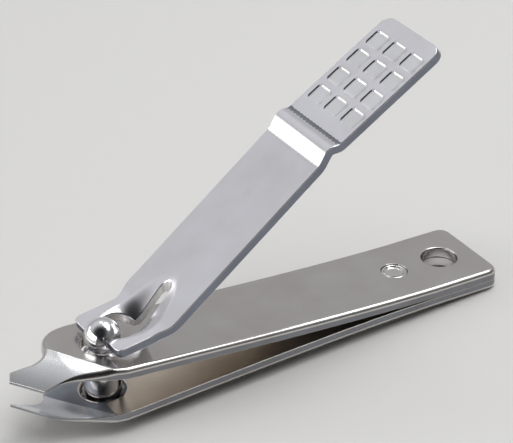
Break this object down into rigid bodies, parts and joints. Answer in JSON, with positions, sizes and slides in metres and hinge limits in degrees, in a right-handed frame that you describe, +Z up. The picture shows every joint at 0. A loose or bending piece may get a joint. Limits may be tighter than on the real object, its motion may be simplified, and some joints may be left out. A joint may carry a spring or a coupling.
{
  "type": "lever nail clipper",
  "caption": "All-metal pet nail clipper with slanted jaws: sprung arms riveted at the heel, a ball-headed pin through both, and a forked lever with a dimpled thumb pad.",
  "frame": {"origin": "under the middle of the clipper's bounding box, on the surface it rests on", "axes": "+Z up, +X from the jaws to the heel, +Y to the left when looking from the jaws towards the heel; the arms' own frame is tilted 4.2 degrees about +Y, because the clipper rests on the heel's lower edge and on the pin's bottom head"},
  "size_m": [0.084, 0.016, 0.0466],
  "materials": {
    "upper_arm_steel": "satin nickel-plated steel with bright rounded edges and a ground jaw face",
    "lower_arm_steel": "satin nickel-plated steel, as the upper arm",
    "rivet_steel": "clenched steel rivet, dished ends",
    "pin_steel": "mirror-polished plating",
    "lever_steel": "satin plated steel, sheared edges left rough"
  },
  "bodies": {
    "lower": {"lower_arm": "lower_arm_steel", "rear_rivet": "rivet_steel"},
    "upper": {"upper_arm": "upper_arm_steel"},
    "pin": {"pin": "pin_steel"},
    "lever": {"lever": "lever_steel"}
  },
  "joints": [
    {"name": "arms_close", "type": "hinge", "parent": "lower", "child": "upper", "pos_m": [0.02653, 0, 0.00287], "axis": [0, -1, 0], "range_deg": [0, 3], "stiffness_Nm_per_rad": 30},
    {"name": "pin_spin", "type": "hinge", "parent": "lower", "child": "pin", "pos_m": [-0.02665, 0, 0.00855], "axis": [0.0735, 0, 0.9973], "continuous": true},
    {"name": "lever_press", "type": "hinge", "parent": "pin", "child": "lever", "pos_m": [-0.02631, 0, 0.01314], "axis": [0, 1, 0], "range_deg": [0, 25]}
  ],
  "couplings": [
    {"joint": "arms_close", "follows": "lever_press", "ratio": 0.12}
  ]
}
